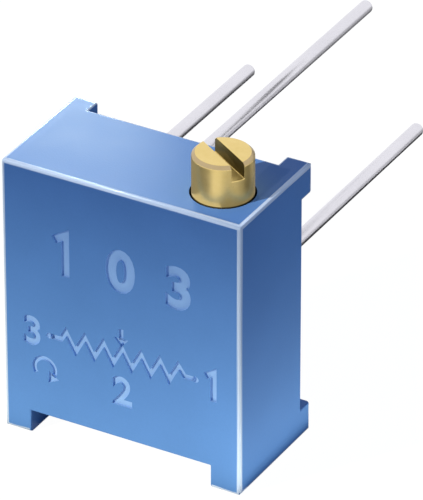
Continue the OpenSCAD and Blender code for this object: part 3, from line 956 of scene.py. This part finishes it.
def dot(x, z, radius):
    place = (x * MM, front, z * MM)
    deselect_all()
    bpy.ops.mesh.primitive_uv_sphere_add(
        segments=20, ring_count=12, radius=radius * MM, location=place
    )
    obj = bpy.context.object
    bpy.ops.transform.resize(value=(1, 0.6, 1), center_override=place)
    bpy.ops.object.transform_apply(location=True, rotation=True, scale=True)
    return obj


# %% Value, numbers and resistor
VALUE_LEVEL, VALUE_HEIGHT = 7.75, 1.75
SIGN_LEVEL, NUMBER_HEIGHT = 4.28, 1.2
TEETH, TOOTH = 6, 0.753
PEAK, VALLEY = SIGN_LEVEL + 0.36, SIGN_LEVEL - 0.34
LEFT_END, RIGHT_END = -2.85, 2.95
LESS_DEEP, LITTLE_LESS_DEEP = 0.92, 0.96

zigzag = [(LEFT_END, SIGN_LEVEL), (-2.42, SIGN_LEVEL)]
for i in range(TEETH):
    zigzag += [(-2.22 + TOOTH * i, PEAK), (-1.84 + TOOTH * i, VALLEY)]
zigzag += [(-2.22 + TOOTH * TEETH, PEAK), (2.56, SIGN_LEVEL), (RIGHT_END, SIGN_LEVEL)]

cutters = [
    one(-2.2, VALUE_LEVEL, VALUE_HEIGHT, 0.32),
    figure("0", 0.0, VALUE_LEVEL, VALUE_HEIGHT, 0.05),
    figure("3", 2.3, VALUE_LEVEL, VALUE_HEIGHT, 0.05),
    figure("3", -3.6, SIGN_LEVEL, NUMBER_HEIGHT, 0.04),
    one(3.7, SIGN_LEVEL - 0.08, 1.22, 0.25),
    figure("2", 0.04, 2.88, NUMBER_HEIGHT, 0.04),
    stroke(zigzag, 0.2),
    stroke([(0.02, 5.42), (0.02, 4.98)], 0.18, LESS_DEEP),
    plate([(-0.27, 5.04), (0.02, 4.7), (0.31, 5.04)], LITTLE_LESS_DEEP),
    dot(LEFT_END - 0.04, SIGN_LEVEL, 0.12),
    dot(RIGHT_END + 0.04, SIGN_LEVEL, 0.12),
]
print("zigzag of", len(zigzag), "points")

# %% Turning arrow
TURN_X, TURN_Z, TURN_RADIUS = -3.1, 2.86, 0.42
TURN_FROM, TURN_TO = 215, -35

turn_arc = []
for degrees in range(TURN_FROM, TURN_TO - 1, -10):
    angle = radians(degrees)
    turn_arc.append((TURN_X + TURN_RADIUS * cos(angle), TURN_Z + TURN_RADIUS * sin(angle)))
end = radians(TURN_TO)
along, across = Vector((sin(end), -cos(end))), Vector((cos(end), sin(end)))
tail = Vector(turn_arc[-1]) - 0.06 * along
cutters += [
    stroke(turn_arc, 0.17, LESS_DEEP),
    plate([tail + 0.24 * across, tail - 0.24 * across, tail + 0.42 * along], LITTLE_LESS_DEEP),
]
print(len(cutters), "signs")


# %% Sink the signs
def cut(piece, tool):
    modifier = piece.modifiers.new("cut", "BOOLEAN")
    modifier.operation = "DIFFERENCE"
    modifier.solver = "EXACT"
    modifier.use_self = True
    modifier.material_mode = "TRANSFER"
    modifier.object = tool
    apply(piece, modifier)
    bpy.data.objects.remove(tool, do_unlink=True)


deselect_all()
for tool in cutters:
    tool.select_set(True)
bpy.context.view_layer.objects.active = cutters[0]
bpy.ops.object.join()
signs = bpy.context.object
dress(signs, mark_look)
before = len(shell.data.polygons)
cut(shell, signs)
print("faces", before, "to", len(shell.data.polygons))
smooth(shell)
sign_slot = shell.data.materials.find(mark_look.name)
for face in shell.data.polygons:
    if face.material_index == sign_slot:
        face.use_smooth = False
lit_by_sheen.objects.link(shell)
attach(shell, "case")
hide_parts("housing")

# %% [markdown]
# The screw
#
# The head's sharp corners at the slot are broken a little, because a saw leaves a burr
# that tumbling takes off. Only edges above the case are picked, and the worm below
# keeps its exact form. The walls of the slot get the painted shade, and the chamfer the darker
# painted reflection.

# %% Turned screw
HEAD_ANGLE = radians(35)
BURR_BEVEL = 0.025 * MM
HEAD_FOOT = case_top + 0.3 * MM
HEAD_LEVEL = case_top + 0.5 * MM
WALL_LEAN = 0.3
CHAMFER_LEAN = (0.5, 0.9)
SLOT_REACH, CHAMFER_REACH = 0.9 * MM, 0.95 * MM
SLOT_SHADE_INDEX, CHAMFER_PAINTED_INDEX = 1, 2

turned = copy_of("adjustment_screw", "turned_screw")


def head_edge(edge):
    high = all(v.co.z > HEAD_FOOT for v in edge.verts)
    return high and edge.calc_face_angle(0) > HEAD_ANGLE


edit(turned)
count = pick_edges(turned, head_edge)
bevel(BURR_BEVEL, 0.5)
done()
dress(turned, brass_look, slot_shade_look, chamfer_painted_reflection)
for face in turned.data.polygons:
    lean, reach = face.normal.z, from_axis(face.center)
    # Slot walls get the painted shade, and the chamfer gets the darker painted reflection.
    if face.center.z > HEAD_LEVEL:
        if abs(lean) < WALL_LEAN and reach < SLOT_REACH:
            face.material_index = SLOT_SHADE_INDEX
        if CHAMFER_LEAN[0] < lean < CHAMFER_LEAN[1] and reach > CHAMFER_REACH:
            face.material_index = CHAMFER_PAINTED_INDEX
smooth(turned, 30)
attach(turned, "screw")
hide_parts("adjustment_screw")
print(count, "head edges broken")

# %% [markdown]
# The resin
#
# Resin is poured into the open back and creeps up the walls and the leads before it
# sets. The flat top of its solid is inset and its middle is let down a few hundredths
# of a millimetre, which leaves that raised rim round the walls and round each lead.

# %% Resin surface
resin = copy_of("potting_seal", "resin_surface", merge_flat=False)


def on_surface(face):
    return face.normal.y > SQUARE and face.calc_center_median().y > resin_level - NEAR


edit(resin, "FACE")
count = pick_faces(resin, on_surface)
for width, drop in ((0.07, 0.02), (0.1, 0.015)):
    bpy.ops.mesh.inset(thickness=width * MM, depth=-drop * MM, use_even_offset=True)
done()
dress(resin, resin_look)
smooth(resin, 40)
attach(resin, "case")
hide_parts("potting_seal")
print(count, "resin faces let down")

# %% [markdown]
# View transform
#
# The view transform is set to Standard.

# %% View transform
view = bpy.context.scene.view_settings
view.view_transform = "Standard"
